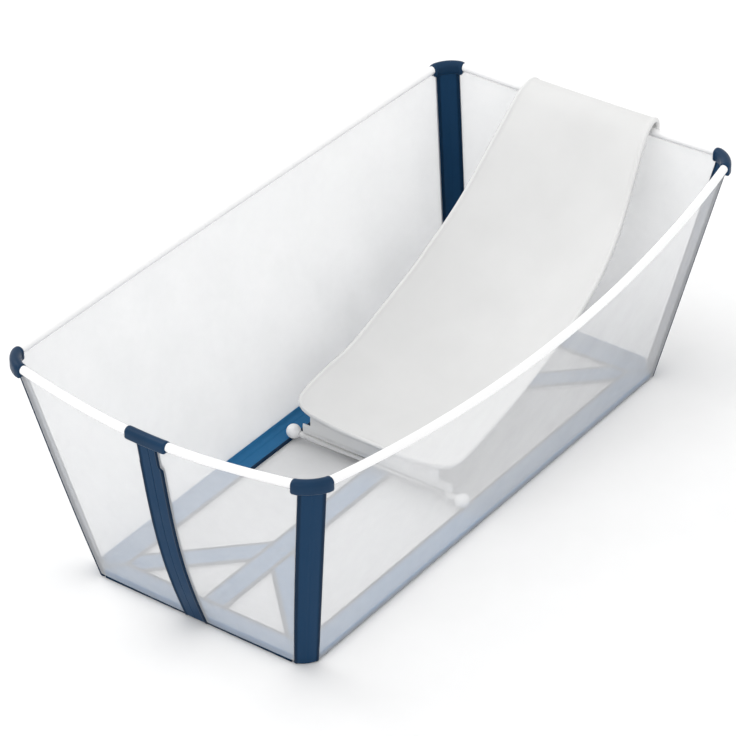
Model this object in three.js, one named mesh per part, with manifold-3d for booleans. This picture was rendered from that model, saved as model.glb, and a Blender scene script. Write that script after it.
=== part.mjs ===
// Folding baby bathtub with a removable newborn support.
// Units are millimetres, +Z is up, +X runs to the head end and +Y to the left wall.
// The origin is on the floor, under the middle of the tub.
import * as THREE from 'three';
import { LoftGeometry } from 'three/addons/geometries/LoftGeometry.js';
import { mergeVertices } from 'three/addons/utils/BufferGeometryUtils.js';
import Module from 'manifold-3d';

const wasm = await Module();
wasm.setup();

// ---- driving dimensions ----
const BASE_HALF_LENGTH = 280;
const BASE_HALF_WIDTH = 119;
const RIM_HALF_LENGTH = 323;
const RIM_HALF_WIDTH = 161;
const CORNER_HEIGHT = 230;
const WALL_BOW = 23;
const WALL_DIP = 20;
const END_BOW = 12;
const END_DIP = 10;
const END_BELLY = 8;
const PANEL_THICKNESS = 2.4;
const STRIP_THICKNESS = 3.4;
const BASE_BOTTOM = 0.5;
const CORNER_REACH = 15;
const CORNER_FLATNESS = 0.4;
const STRIP_HALF = 13;
const EDGE_STRIP_WIDTH = 24;
const TRIANGLE_CHAMFER = 9;
const WALL_FOOT = 6;
const END_FOOT = 9;
const GAP = 0.4;
const BEAD_RADIUS = 3.9;
const CAP_REACH = 21.5;
const CAP_TOP = 5;
const CAP_DROP = 7.5;
const CAP_HALF_DEPTH = 5.2;
const DRAIN_X = 110;
const DRAIN_Y = 48;
const DRAIN_RADIUS = 19;
const DRAIN_BORE = 13;
const SUPPORT_THICKNESS = 3;
const LEG_X = -16;
const LEG_Z = 27;
const LUG_Y = 60;
const LUG_DEPTH = 5;
const LUG_HEIGHT = 12.4;
const LUG_TOP = 38.4;
const SKIRT_X = -20.2;
const SKIRT_HALF = 72;
const SKIRT_BOTTOM = 22;
const SKIRT_CLEAR = 2.9;
const LEG_HALF_WIDTH = 84;
const FOOT_BAR_Z = 11;
const FOOT_SPAN = 95;
const FOOT_RADIUS = 7;

// ---- materials ----
const COLOURS = {
  panel: { color: 0xe9edf1, roughness: 0.45, metalness: 0 },
  strip: { color: 0x183c5a, roughness: 0.6, metalness: 0 },
  bead: { color: 0xf4f5f6, roughness: 0.4, metalness: 0 },
  support: { color: 0xe9e9e8, roughness: 0.5, metalness: 0 },
  drain: { color: 0x183c5a, roughness: 0.45, metalness: 0 },
};

const tub = new THREE.Group();

function addMesh(name, geometry, look) {
  const mesh = new THREE.Mesh(geometry, new THREE.MeshStandardMaterial(COLOURS[look]));
  mesh.name = name;
  tub.add(mesh);
  return mesh;
}

// ---- solids ----

// The signed volume tells whether the faces of a closed mesh point out.
function signedVolume(geometry) {
  const position = geometry.getAttribute('position');
  const index = geometry.getIndex();
  const a = new THREE.Vector3();
  const b = new THREE.Vector3();
  const c = new THREE.Vector3();
  let sum = 0;
  for (let i = 0; i < index.count; i += 3) {
    a.fromBufferAttribute(position, index.getX(i));
    b.fromBufferAttribute(position, index.getX(i + 1));
    c.fromBufferAttribute(position, index.getX(i + 2));
    sum += a.dot(b.cross(c));
  }
  return sum / 6;
}

// A closed body skinned over a row of closed sections, with its faces pointing out.
function loft(sections) {
  const options = { closed: true, capStart: true, capEnd: true };
  const first = new LoftGeometry(sections, options);
  if (signedVolume(first) > 0) {
    return first;
  }
  const turned = sections.map((section) => [...section].reverse());
  return new LoftGeometry(turned, options);
}

// A sheet of the given thickness around a curved surface point(u, v, target).
function sheet(point, uValues, vValues, thickness) {
  const step = 1e-4;
  const here = new THREE.Vector3();
  const alongU = new THREE.Vector3();
  const alongV = new THREE.Vector3();
  const sections = uValues.map((u) => {
    const outer = [];
    const inner = [];
    for (const v of vValues) {
      point(u, v, here);
      point(u + step, v, alongU).sub(here);
      point(u, v + step, alongV).sub(here);
      const normal = alongU.clone().cross(alongV).normalize();
      outer.push(here.clone().addScaledVector(normal, thickness / 2));
      inner.push(here.clone().addScaledVector(normal, -thickness / 2));
    }
    return outer.concat(inner.reverse());
  });
  return loft(sections);
}

// A bar with a flat section outline, swept along curve points with the section kept upright.
function sweptBar(path, outline) {
  const up = new THREE.Vector3(0, 0, 1);
  const sections = path.map((point, i) => {
    const before = path[Math.max(i - 1, 0)];
    const after = path[Math.min(i + 1, path.length - 1)];
    const forward = after.clone().sub(before);
    const side = forward.clone().cross(up).normalize();
    return outline.map(([across, height]) => {
      return point.clone().addScaledVector(side, across).addScaledVector(up, height);
    });
  });
  return loft(sections);
}

// An upright prism over a flat outline.
function prism(outline, bottom, top) {
  const shape = new THREE.Shape(outline.map(([x, y]) => new THREE.Vector2(x, y)));
  const geometry = new THREE.ExtrudeGeometry(shape, { depth: top - bottom, bevelEnabled: false });
  geometry.translate(0, 0, bottom);
  return geometry;
}

function circleOutline(radius, count) {
  return Array.from({ length: count }, (_, i) => {
    const angle = (i / count) * Math.PI * 2;
    return [Math.cos(angle) * radius, Math.sin(angle) * radius];
  });
}

function range(start, end, count) {
  return Array.from({ length: count + 1 }, (_, i) => start + ((end - start) * i) / count);
}

// ---- booleans ----

function toManifold(geometry) {
  const bare = new THREE.BufferGeometry();
  bare.setAttribute('position', geometry.getAttribute('position'));
  bare.setIndex(geometry.getIndex());
  const merged = mergeVertices(bare, 1e-3);
  return new wasm.Manifold(new wasm.Mesh({
    numProp: 3,
    vertProperties: new Float32Array(merged.getAttribute('position').array),
    triVerts: new Uint32Array(merged.getIndex().array),
  }));
}

function toGeometry(manifold) {
  const mesh = manifold.getMesh();
  const geometry = new THREE.BufferGeometry();
  geometry.setAttribute('position', new THREE.BufferAttribute(mesh.vertProperties, 3));
  geometry.setIndex(new THREE.BufferAttribute(mesh.triVerts, 1));
  geometry.computeVertexNormals();
  return geometry;
}

function cut(geometry, ...tools) {
  let solid = toManifold(geometry);
  for (const tool of tools) {
    solid = solid.subtract(toManifold(tool));
  }
  return toGeometry(solid);
}

// ---- tub surfaces ----
// sideSign is -1 on the right (-Y) and +1 on the left; endSign is -1 at the foot and +1 at the head.

// Long wall: x is measured at height share v, and the rim bows out and dips at the middle.
function wallPoint(sideSign, x, v, target) {
  const halfLength = BASE_HALF_LENGTH + (RIM_HALF_LENGTH - BASE_HALF_LENGTH) * v;
  const s = x / halfLength;
  const arch = 1 - s * s;
  const halfWidth = BASE_HALF_WIDTH + (RIM_HALF_WIDTH - BASE_HALF_WIDTH + WALL_BOW * arch) * v;
  return target.set(x, sideSign * halfWidth, (CORNER_HEIGHT - WALL_DIP * arch) * v);
}

// End wall: y is measured at height share v, and the rim bows out and dips at the centre.
function endPoint(endSign, y, v, target) {
  const halfWidth = BASE_HALF_WIDTH + (RIM_HALF_WIDTH - BASE_HALF_WIDTH) * v;
  const arch = Math.cos((Math.PI / 2) * (y / halfWidth));
  const belly = END_BELLY * Math.sin(Math.PI * v) * (1.35 - 0.7 * v) * arch;
  const lean = (RIM_HALF_LENGTH - BASE_HALF_LENGTH + END_BOW * arch) * v;
  return target.set(endSign * (BASE_HALF_LENGTH + lean + belly), y, (CORNER_HEIGHT - END_DIP * arch) * v);
}

function halfLengthAt(v) {
  return BASE_HALF_LENGTH + (RIM_HALF_LENGTH - BASE_HALF_LENGTH) * v;
}

function halfWidthAt(v) {
  return BASE_HALF_WIDTH + (RIM_HALF_WIDTH - BASE_HALF_WIDTH) * v;
}

// Rounded corner: a quadratic curve that leaves the wall and the end along their own surfaces.
function cornerPoint(endSign, sideSign, u, v, target) {
  const onWall = new THREE.Vector3();
  const onEnd = new THREE.Vector3();
  const crease = new THREE.Vector3();
  wallPoint(sideSign, endSign * (halfLengthAt(v) - CORNER_REACH), v, onWall);
  endPoint(endSign, sideSign * (halfWidthAt(v) - CORNER_REACH), v, onEnd);
  wallPoint(sideSign, endSign * halfLengthAt(v), v, crease);
  const chord = onWall.clone().lerp(onEnd, 0.5);
  crease.lerp(chord, CORNER_FLATNESS);
  return target.set(0, 0, 0)
    .addScaledVector(onWall, (1 - u) * (1 - u))
    .addScaledVector(crease, 2 * u * (1 - u))
    .addScaledVector(onEnd, u * u);
}

const SLANT = Math.hypot(CORNER_HEIGHT, RIM_HALF_WIDTH - BASE_HALF_WIDTH);
const BEAD_CLEAR = (BEAD_RADIUS + GAP) / SLANT;
const PANEL_GAP = CORNER_REACH + 2 * GAP;

const SIDES = [['right', -1], ['left', 1]];
const ENDS = [['foot', -1], ['head', 1]];

// ---- rim caps, and the slightly larger bodies that make room for them ----
const CAP_OUTLINE = [
  [-CAP_HALF_DEPTH, -CAP_DROP],
  [CAP_HALF_DEPTH, -CAP_DROP],
  [CAP_HALF_DEPTH, CAP_TOP - 4],
  [CAP_HALF_DEPTH - 1.8, CAP_TOP - 1],
  [CAP_HALF_DEPTH - 4.5, CAP_TOP],
  [4.5 - CAP_HALF_DEPTH, CAP_TOP],
  [1.8 - CAP_HALF_DEPTH, CAP_TOP - 1],
  [-CAP_HALF_DEPTH, CAP_TOP - 4],
];

function cornerRimPath(endSign, sideSign, reach) {
  const path = [];
  for (const x of [reach, (reach + CORNER_REACH) / 2]) {
    path.push(wallPoint(sideSign, endSign * (RIM_HALF_LENGTH - x), 1, new THREE.Vector3()));
  }
  for (const u of range(0, 1, 6)) {
    path.push(cornerPoint(endSign, sideSign, u, 1, new THREE.Vector3()));
  }
  for (const y of [(reach + CORNER_REACH) / 2, reach]) {
    path.push(endPoint(endSign, sideSign * (RIM_HALF_WIDTH - y), 1, new THREE.Vector3()));
  }
  return path;
}

function endRimPath(endSign, from, to, count) {
  return range(from, to, count).map((y) => endPoint(endSign, y, 1, new THREE.Vector3()));
}

function widened(outline, extra) {
  return outline.map(([across, height]) => {
    return [across + Math.sign(across) * extra, height + Math.sign(height) * extra];
  });
}

const CORNER_CAP_REACH = CORNER_REACH + 9;
const capRooms = {};
for (const [endName, endSign] of ENDS) {
  for (const [sideName, sideSign] of SIDES) {
    const key = `${endName}_${sideName}`;
    const path = cornerRimPath(endSign, sideSign, CORNER_CAP_REACH);
    addMesh(`rim_cap_${key}`, sweptBar(path, CAP_OUTLINE), 'strip');
    const room = cornerRimPath(endSign, sideSign, CORNER_CAP_REACH + GAP);
    capRooms[key] = sweptBar(room, widened(CAP_OUTLINE, GAP));
  }
  const centrePath = endRimPath(endSign, -CAP_REACH, CAP_REACH, 4);
  addMesh(`rim_cap_${endName}_centre`, sweptBar(centrePath, CAP_OUTLINE), 'strip');
  const room = endRimPath(endSign, -CAP_REACH - GAP, CAP_REACH + GAP, 4);
  capRooms[`${endName}_centre`] = sweptBar(room, widened(CAP_OUTLINE, GAP));
}

// ---- long walls with their rim beads ----
for (const [sideName, sideSign] of SIDES) {
  const bottom = (WALL_FOOT + GAP) / SLANT;
  const top = 1 - BEAD_CLEAR;
  const surface = (u, v, target) => {
    return wallPoint(sideSign, u * (halfLengthAt(v) - PANEL_GAP), v, target);
  };
  const panel = sheet(surface, range(-1, 1, 16), [bottom, top], PANEL_THICKNESS);
  const rooms = [capRooms[`foot_${sideName}`], capRooms[`head_${sideName}`]];
  addMesh(`wall_${sideName}_panel`, cut(panel, ...rooms), 'panel');

  const reach = RIM_HALF_LENGTH - CORNER_CAP_REACH - GAP;
  const path = range(-reach, reach, 16).map((x) => wallPoint(sideSign, x, 1, new THREE.Vector3()));
  addMesh(`rim_bead_wall_${sideName}`, sweptBar(path, circleOutline(BEAD_RADIUS, 10)), 'bead');
}

// ---- end walls: two halves at each end, with their rim beads ----
for (const [endName, endSign] of ENDS) {
  for (const [sideName, sideSign] of SIDES) {
    const bottom = (END_FOOT + GAP) / SLANT;
    const top = 1 - BEAD_CLEAR;
    const inner = STRIP_HALF + GAP;
    const surface = (u, v, target) => {
      const y = inner + (halfWidthAt(v) - PANEL_GAP - inner) * u;
      return endPoint(endSign, sideSign * y, v, target);
    };
    const panel = sheet(surface, range(0, 1, 6), range(bottom, top, 4), PANEL_THICKNESS);
    const rooms = [capRooms[`${endName}_${sideName}`], capRooms[`${endName}_centre`]];
    addMesh(`end_${endName}_${sideName}_panel`, cut(panel, ...rooms), 'panel');

    const from = sideSign * (CAP_REACH + GAP);
    const to = sideSign * (RIM_HALF_WIDTH - CORNER_CAP_REACH - GAP);
    const bead = sweptBar(endRimPath(endSign, from, to, 6), circleOutline(BEAD_RADIUS, 10));
    addMesh(`rim_bead_end_${endName}_${sideName}`, bead, 'bead');
  }
}

// ---- upright hinge strips: four rounded corners and the middle of each end ----
for (const [endName, endSign] of ENDS) {
  for (const [sideName, sideSign] of SIDES) {
    const surface = (u, v, target) => cornerPoint(endSign, sideSign, u, v, target);
    const strip = sheet(surface, range(0, 1, 6), [0.003, 0.5, 0.99], STRIP_THICKNESS);
    const room = capRooms[`${endName}_${sideName}`];
    addMesh(`corner_strip_${endName}_${sideName}`, cut(strip, room), 'strip');
  }
  const surface = (u, v, target) => endPoint(endSign, u * STRIP_HALF, v, target);
  const bottom = (END_FOOT + GAP) / SLANT;
  const strip = sheet(surface, range(-1, 1, 2), range(bottom, 0.99, 6), STRIP_THICKNESS);
  addMesh(`end_strip_${endName}`, cut(strip, capRooms[`${endName}_centre`]), 'strip');
}

// ---- bottom edge strips: an L section that lies on the floor and turns up the wall ----
function edgeSection(lean, foot) {
  const length = Math.hypot(lean, CORNER_HEIGHT);
  const upX = -lean / length;
  const upZ = CORNER_HEIGHT / length;
  const half = STRIP_THICKNESS / 2;
  return [
    [EDGE_STRIP_WIDTH, 0],
    [-0.6, 0],
    [-half + 0.1, 1],
    [upX * foot - upZ * half, upZ * foot + upX * half],
    [upX * foot + upZ * half, upZ * foot - upX * half],
    [half + 0.8, STRIP_THICKNESS],
    [EDGE_STRIP_WIDTH, STRIP_THICKNESS],
  ];
}

const CHAMFER = CORNER_REACH + STRIP_THICKNESS + 1.4;

// The floor pieces stop short of the rounded corner and meet along the mitre line.
function mitreTool(alongEdge) {
  const half = CHAMFER / 2;
  const far = EDGE_STRIP_WIDTH + 6;
  const outline = [
    [-60, -60],
    [CHAMFER, -60],
    [CHAMFER, 0],
    [half + GAP / 2, half - GAP / 2],
    [far + GAP, far],
    [-60, far],
  ];
  return alongEdge ? outline : outline.map(([a, b]) => [b, a]);
}

function placedPrism(outline, endSign, sideSign) {
  const placed = outline.map(([a, b]) => {
    return [endSign * (BASE_HALF_LENGTH - a), sideSign * (BASE_HALF_WIDTH - b)];
  });
  return prism(placed, -10, 30);
}

for (const [sideName, sideSign] of SIDES) {
  const outline = edgeSection(RIM_HALF_WIDTH - BASE_HALF_WIDTH, WALL_FOOT);
  const sections = range(-1, 1, 12).map((t) => outline.map(([inward, height]) => {
    const arch = Math.max(0, 1 - t * t);
    const bow = (WALL_BOW * arch * height) / CORNER_HEIGHT;
    const y = sideSign * (BASE_HALF_WIDTH - inward + (inward < EDGE_STRIP_WIDTH ? bow : 0));
    const dip = height > STRIP_THICKNESS ? (WALL_DIP * arch * height) / CORNER_HEIGHT : 0;
    return new THREE.Vector3(t * (BASE_HALF_LENGTH + 5), y, height - dip);
  }));
  const tools = ENDS.map(([, endSign]) => placedPrism(mitreTool(true), endSign, sideSign));
  addMesh(`bottom_strip_${sideName}`, cut(loft(sections), ...tools), 'strip');
}

for (const [endName, endSign] of ENDS) {
  const outline = edgeSection(RIM_HALF_LENGTH - BASE_HALF_LENGTH, END_FOOT);
  const sections = range(-1, 1, 8).map((t) => outline.map(([inward, height]) => {
    const y = t * (BASE_HALF_WIDTH + 5);
    const arch = Math.max(0, Math.cos((Math.PI / 2) * t));
    const curve = 1.35 * END_BELLY * Math.sin((Math.PI * height) / CORNER_HEIGHT);
    const belly = (END_BOW * height) / CORNER_HEIGHT + curve;
    const x = BASE_HALF_LENGTH - inward + (inward < EDGE_STRIP_WIDTH ? arch * belly : 0);
    const dip = height > STRIP_THICKNESS ? (END_DIP * arch * height) / CORNER_HEIGHT : 0;
    return new THREE.Vector3(endSign * x, y, height - dip);
  }));
  const tools = SIDES.map(([, sideSign]) => placedPrism(mitreTool(false), endSign, sideSign));
  addMesh(`bottom_strip_${endName}`, cut(loft(sections), ...tools), 'strip');
}

// ---- base: centre strip, four diagonal strips, two long panels and four triangles ----
const SLOPE_WIDTH = STRIP_HALF * Math.SQRT2;
const INNER = BASE_HALF_WIDTH - STRIP_HALF - GAP;
const BASE_TOP = BASE_BOTTOM + PANEL_THICKNESS;

const centreReach = BASE_HALF_LENGTH - EDGE_STRIP_WIDTH - GAP;
addMesh('base_centre_strip', prism([
  [-centreReach, -STRIP_HALF],
  [centreReach, -STRIP_HALF],
  [centreReach, STRIP_HALF],
  [-centreReach, STRIP_HALF],
], 0, STRIP_THICKNESS), 'strip');

// Plan outlines below are measured from the base corner: a along the length, b across the width.
function plan(outline, endSign, sideSign) {
  return outline.map(([a, b]) => {
    return [endSign * (BASE_HALF_LENGTH - a), sideSign * (BASE_HALF_WIDTH - b)];
  });
}

for (const [endName, endSign] of ENDS) {
  for (const [sideName, sideSign] of SIDES) {
    const start = EDGE_STRIP_WIDTH + GAP;
    addMesh(`base_diagonal_strip_${endName}_${sideName}`, prism(plan([
      [start, start],
      [start + SLOPE_WIDTH, start],
      [INNER + SLOPE_WIDTH, INNER],
      [INNER - SLOPE_WIDTH, INNER],
      [start, start + SLOPE_WIDTH],
    ], endSign, sideSign), 0, STRIP_THICKNESS), 'strip');

    const edge = start + SLOPE_WIDTH + GAP * Math.SQRT2;
    addMesh(`base_triangle_${endName}_${sideName}`, prism(plan([
      [start, edge],
      [INNER - SLOPE_WIDTH - GAP * Math.SQRT2, INNER],
      [start + TRIANGLE_CHAMFER, INNER],
      [start, INNER - TRIANGLE_CHAMFER],
    ], endSign, sideSign), BASE_BOTTOM, BASE_TOP), 'panel');
  }
}

for (const [sideName, sideSign] of SIDES) {
  const start = EDGE_STRIP_WIDTH + GAP;
  const slope = SLOPE_WIDTH + GAP * Math.SQRT2;
  const nearFoot = plan([[start + slope, start], [INNER + slope, INNER]], -1, sideSign);
  const nearHead = plan([[INNER + slope, INNER], [start + slope, start]], 1, sideSign);
  let panel = prism([...nearFoot, ...nearHead], BASE_BOTTOM, BASE_TOP);
  if (sideName === 'left') {
    const hole = new THREE.CylinderGeometry(DRAIN_RADIUS + GAP, DRAIN_RADIUS + GAP, 20, 32);
    hole.rotateX(Math.PI / 2);
    hole.translate(DRAIN_X, DRAIN_Y, 0);
    panel = cut(panel, hole);
  }
  addMesh(`base_${sideName}_panel`, panel, 'panel');
}

// ---- drain ring and its lift-out plug ----
function turned(profile, count) {
  const points = profile.map(([radius, height]) => new THREE.Vector2(radius, height));
  const geometry = new THREE.LatheGeometry(points, count);
  geometry.rotateX(Math.PI / 2);
  return geometry;
}

const drainRing = addMesh('drain_ring', turned([
  [DRAIN_BORE, 0.3],
  [DRAIN_RADIUS, 0.3],
  [DRAIN_RADIUS, 3.4],
  [DRAIN_RADIUS - 1.2, 4],
  [DRAIN_BORE, 4],
  [DRAIN_BORE, 0.3],
], 32), 'drain');
drainRing.position.set(DRAIN_X, DRAIN_Y, 0);

const drainPlug = addMesh('drain_plug', turned([
  [0, 0.5],
  [DRAIN_BORE - GAP - 0.6, 0.5],
  [DRAIN_BORE - GAP, 4.4],
  [DRAIN_BORE + 3, 4.4],
  [DRAIN_BORE + 3, 5.6],
  [DRAIN_BORE + 1.8, 6.4],
  [3.4, 6.4],
  [3, 10.5],
  [0, 11],
], 32), 'drain');
drainPlug.position.set(DRAIN_X, DRAIN_Y, 0);

// ---- newborn support: a reclined scoop that hooks over the head rim ----
// Rows run from the lower end to the hook: distance along X, edge height, scoop depth, half width.
const SUPPORT_ROWS = [
  [-24, 43, 5, 62],
  [-21, 46, 9, 76],
  [-14, 49.5, 13, 84.5],
  [-3, 52.5, 16, 88.5],
  [27, 58.5, 21, 90],
  [58, 63.5, 24, 90],
  [86, 71, 27, 90],
  [112, 80, 29, 90],
  [138, 89, 30, 90],
  [165, 99, 30, 90],
  [194, 113, 28, 89.5],
  [222, 129, 24, 88],
  [248, 149, 19, 85.5],
  [271, 173, 14, 82],
  [291, 197, 10, 78],
  [308, 217, 6, 74.5],
  [320, 228.5, 3, 72.5],
  [331.5, 233.2, 1, 71],
  [340.3, 231.2, 0.6, 70],
  [343.6, 224, 0.4, 69.5],
  [344.2, 212, 0.4, 69],
];

const supportRows = new THREE.CatmullRomCurve3(
  SUPPORT_ROWS.map(([x, z]) => new THREE.Vector3(x, 0, z)), false, 'centripetal');

function supportRowAt(share) {
  const scaled = share * (SUPPORT_ROWS.length - 1);
  const i = Math.min(Math.floor(scaled), SUPPORT_ROWS.length - 2);
  const t = Math.min(scaled - i, 1);
  const depth = SUPPORT_ROWS[i][2] + (SUPPORT_ROWS[i + 1][2] - SUPPORT_ROWS[i][2]) * t;
  const width = SUPPORT_ROWS[i][3] + (SUPPORT_ROWS[i + 1][3] - SUPPORT_ROWS[i][3]) * t;
  return { middle: supportRows.getPoint(Math.min(share, 1)), depth, width };
}

function supportPoint(u, v, target) {
  const { middle, depth, width } = supportRowAt(u);
  const sag = depth * (1 - Math.abs(v) ** 2.6);
  return target.set(middle.x + sag * 0.15, v * width, middle.z - sag);
}

const supportShares = range(0, 1, SUPPORT_ROWS.length - 1).map((u) => Math.min(u, 0.99985));
const supportShell = sheet(supportPoint, supportShares, range(-1, 0.9999, 14), SUPPORT_THICKNESS);
addMesh('support_shell', supportShell, 'support');

// The skirt closes the front of the shell's lower end, and its top follows the scoop.
const lowerRow = supportRowAt(1.1 / (SUPPORT_ROWS.length - 1));
const skirtSections = range(-SKIRT_HALF, SKIRT_HALF, 12).map((y) => {
  const sag = lowerRow.depth * (1 - Math.abs(y / lowerRow.width) ** 2.6);
  const top = lowerRow.middle.z - sag - SKIRT_CLEAR;
  const back = SKIRT_X + 1.3;
  const front = SKIRT_X - 1.3;
  return [[front, SKIRT_BOTTOM], [back, SKIRT_BOTTOM], [back, top], [front, top]].map(([x, z]) => {
    return new THREE.Vector3(x, y, z);
  });
});
addMesh('support_skirt', loft(skirtSections), 'support');

// ---- the support's folding stand: hinge rod, leg plate, foot bar and two ball feet ----
function barAlongY(radius, from, to, count) {
  const geometry = new THREE.CylinderGeometry(radius, radius, to - from, count);
  geometry.translate(0, (from + to) / 2, 0);
  return geometry;
}

const rod = addMesh('support_hinge_rod', barAlongY(2.5, -56, 56, 12), 'support');
rod.position.set(LEG_X, 0, LEG_Z);

for (const [sideName, sideSign] of SIDES) {
  const lug = addMesh(`support_lug_${sideName}`, new THREE.BoxGeometry(LUG_DEPTH, 6, LUG_HEIGHT), 'support');
  lug.position.set(LEG_X, sideSign * LUG_Y, LUG_TOP - LUG_HEIGHT / 2);
}

const legHeight = LEG_Z - FOOT_BAR_Z - 2.5 - 3 - 2 * GAP;
const legPlate = new THREE.BoxGeometry(3, 2 * LEG_HALF_WIDTH, legHeight);
const leg = addMesh('support_leg_plate', legPlate, 'support');
leg.position.set(LEG_X, 0, (LEG_Z - 2.5 + FOOT_BAR_Z + 3) / 2);

const footBarReach = FOOT_SPAN - FOOT_RADIUS - GAP;
const footBar = addMesh('support_foot_bar', barAlongY(3, -footBarReach, footBarReach, 12), 'support');
footBar.position.set(LEG_X, 0, FOOT_BAR_Z);

for (const [sideName, sideSign] of SIDES) {
  const ball = new THREE.SphereGeometry(FOOT_RADIUS, 16, 10);
  const foot = addMesh(`support_foot_${sideName}`, ball, 'bead');
  foot.position.set(LEG_X, sideSign * FOOT_SPAN, FOOT_BAR_Z);
}

export default tub;
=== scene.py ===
"""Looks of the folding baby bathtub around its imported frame, in metres. +X is the head end, +Z is up."""

import math

import bpy
import numpy as np
from mathutils import Matrix, Vector


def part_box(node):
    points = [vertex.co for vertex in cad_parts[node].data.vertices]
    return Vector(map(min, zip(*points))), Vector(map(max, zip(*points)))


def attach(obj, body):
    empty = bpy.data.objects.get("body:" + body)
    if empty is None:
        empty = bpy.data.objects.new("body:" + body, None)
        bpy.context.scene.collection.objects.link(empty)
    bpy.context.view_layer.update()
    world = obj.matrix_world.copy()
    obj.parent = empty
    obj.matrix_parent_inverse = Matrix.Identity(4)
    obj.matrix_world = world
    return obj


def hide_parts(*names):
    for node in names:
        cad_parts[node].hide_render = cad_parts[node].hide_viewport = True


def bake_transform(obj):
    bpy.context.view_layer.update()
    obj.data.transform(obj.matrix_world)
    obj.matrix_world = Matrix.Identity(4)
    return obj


bl_info = {
    "name": "Folding Baby Bathtub",
    "version": (1, 0, 0),
    "blender": (4, 5, 0),
    "location": "View3D > Sidebar > Bathtub",
    "description": "Builds the looks of a folding baby bathtub around its frame",
    "category": "Object",
}

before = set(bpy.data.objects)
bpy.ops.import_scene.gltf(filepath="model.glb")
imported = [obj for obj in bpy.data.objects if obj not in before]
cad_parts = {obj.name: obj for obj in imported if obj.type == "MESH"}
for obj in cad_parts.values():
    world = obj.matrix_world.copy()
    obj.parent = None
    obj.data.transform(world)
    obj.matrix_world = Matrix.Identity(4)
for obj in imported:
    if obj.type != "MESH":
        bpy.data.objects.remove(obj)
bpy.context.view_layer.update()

# ---- sizes of the tub, the same as the frame's, in metres ----
BASE_HALF_LENGTH = 0.280
BASE_HALF_WIDTH = 0.119
RIM_HALF_LENGTH = 0.323
RIM_HALF_WIDTH = 0.161
CORNER_HEIGHT = 0.230
WALL_BOW = 0.023
WALL_DIP = 0.020
END_BOW = 0.012
END_DIP = 0.010
END_BELLY = 0.008
BELLY_LOW = 1.35
BELLY_LEAN = 0.7
CORNER_REACH = 0.015
CORNER_FLATNESS = 0.5
CORNER_CAP_REACH = 0.0198
CENTRE_CAP_REACH = 0.0215
STRIP_HALF = 0.013
EDGE_STRIP_WIDTH = 0.024
BEAD_RADIUS = 0.0039
CAP_RADIUS = 0.0050
CORNER_CAP_DROP = 0.0075
CENTRE_CAP_DROP = 0.0056
FLOOR_STRIP_HEIGHT = 0.0037
WALL_FOOT = 0.0065
END_FOOT = 0.0092

# ---- how far pieces reach into or past each other ----
TUCK = 0.003
CORNER_CLEAR = 0.0021
JOINT_GAP = 0.0003
NECK_HALF = 0.0100
UPTURN_REACH = 0.006
BEAD_END_RADIUS = 0.001
CAP_END_RADIUS = 0.0022
CREASE_X = BASE_HALF_LENGTH - BASE_HALF_WIDTH

# ---- limits of the upright pieces, as shares of the corner height ----
WALL_PANEL_LOW = 0.005
END_PANEL_LOW = 0.015
PANEL_HIGH = 0.992
CORNER_STRIP_LOW = 0.0025
END_STRIP_LOW = 0.004
STRIP_HIGH = 0.985
NECK_START = 0.87
NECK_SPAN = 0.012

NEAR = 1e-5
UP = np.array([0.0, 0.0, 1.0])
NO_TRIANGLES = np.zeros((0, 3), int)
SIDES = (("right", -1), ("left", 1))
ENDS = (("foot", -1), ("head", 1))
CORNERS = [(f"{end[0]}_{side[0]}", *end, *side) for end in ENDS for side in SIDES]

# Rows of the newborn support from its lower end to the hook, in millimetres: along X, edge height, scoop
# depth and half width.
SUPPORT_ROWS = np.array([
    [-24, 43, 5, 70],
    [-21, 46, 9, 83],
    [-14, 49.5, 13, 89.5],
    [-3, 52.5, 16, 91.5],
    [27, 58.5, 21, 91.5],
    [58, 63.5, 24, 90],
    [86, 71, 27, 90],
    [112, 80, 29, 90],
    [138, 89, 30, 90],
    [165, 99, 30, 90],
    [194, 113, 28, 89.5],
    [222, 129, 24, 88],
    [248, 149, 19, 85.5],
    [271, 173, 14, 82],
    [291, 197, 10, 78],
    [308, 217, 6, 74.5],
    [320, 228.5, 3, 72.5],
    [331.5, 233.2, 1, 71],
    [340.3, 231.2, 0.6, 70],
    [343.6, 224, 0.4, 69.5],
    [344.2, 212, 0.4, 69],
]) * 0.001
SCOOP_POWER = 2.6
SCOOP_LEAN = 0.15
SUPPORT_SHEET = 0.003
SKIRT_SHEET = 0.0026


# ---- grids and meshes ----

def arc_steps(radius, length, turn=math.pi / 2, count=5):
    """Places from a border on a length of 1 that round an edge: the radius times one minus the cosine."""
    return radius * (1 - np.cos(np.linspace(0, turn, count + 1))) / length


def spaced(length, radii, count, turn=math.pi / 2):
    """Values from 0 to 1, fine at both borders where an edge is rounded, and even between."""
    start = arc_steps(radii[0], length, turn)
    end = 1 - arc_steps(radii[1], length, turn)[::-1]
    return np.concatenate([start, np.linspace(start[-1], end[0], count + 1)[1:-1], end])


def border_distances(points):
    """Distance of each grid point from the grid's four borders, measured along the grid lines."""
    steps_u = np.linalg.norm(np.diff(points, axis=0), axis=-1)
    steps_v = np.linalg.norm(np.diff(points, axis=1), axis=-1)
    along_u = np.pad(np.cumsum(steps_u, axis=0), ((1, 0), (0, 0)))
    along_v = np.pad(np.cumsum(steps_v, axis=1), ((0, 0), (1, 0)))
    return along_u, along_u[-1:] - along_u, along_v, along_v[:, -1:] - along_v


def quarter_round(distance, radius):
    """Rises from 0 at a border to 1 at the radius, as a quarter circle does."""
    return np.sqrt(1 - (1 - np.clip(distance / radius, 0, 1)) ** 2)


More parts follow.
